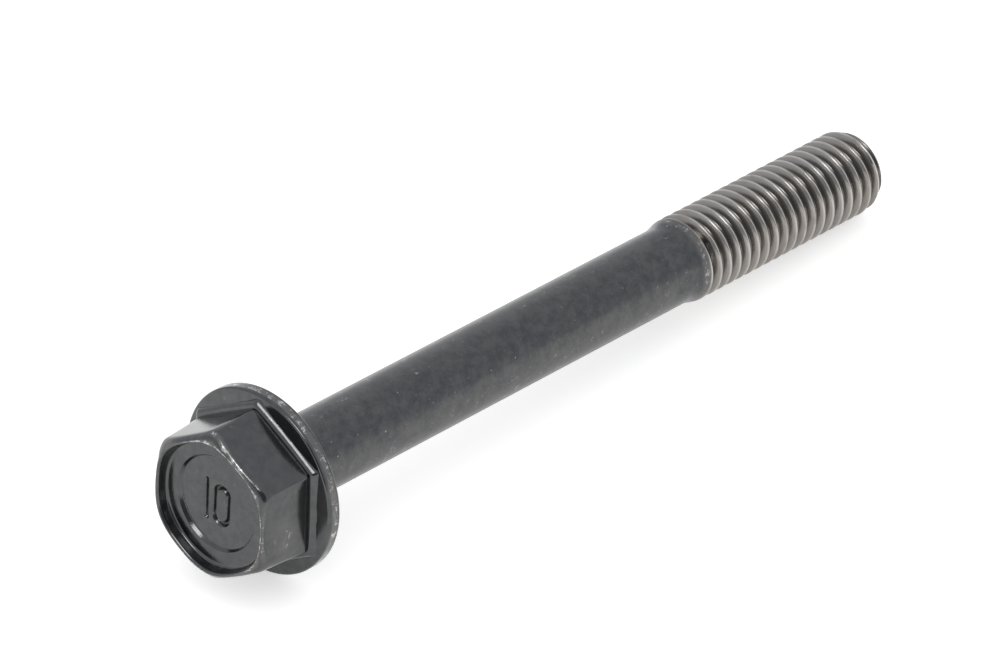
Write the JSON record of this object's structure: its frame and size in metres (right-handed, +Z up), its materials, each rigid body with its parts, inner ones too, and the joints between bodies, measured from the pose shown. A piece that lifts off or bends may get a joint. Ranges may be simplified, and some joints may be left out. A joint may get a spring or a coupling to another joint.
{
  "type": "hexagon flange bolt",
  "caption": "Partly threaded hexagon flange bolt with a dished head, plain shank and metric thread; its flange spreads the clamping load without a washer.",
  "frame": {"origin": "on the floor under the middle of the lying bolt: centre of the bottom of its box", "axes": "+X along the floor from the head to the tip, +Z up; the bolt's own axis dips 3.5 degrees towards the tip, because it lies on its flange's rim and its thread's end"},
  "size_m": [0.0828, 0.017, 0.017],
  "materials": {
    "black_steel": "black oxide, satin, scuffed, with bright worn edges"
  },
  "bodies": {
    "root": {"flange_bolt": "black_steel"}
  },
  "joints": []
}
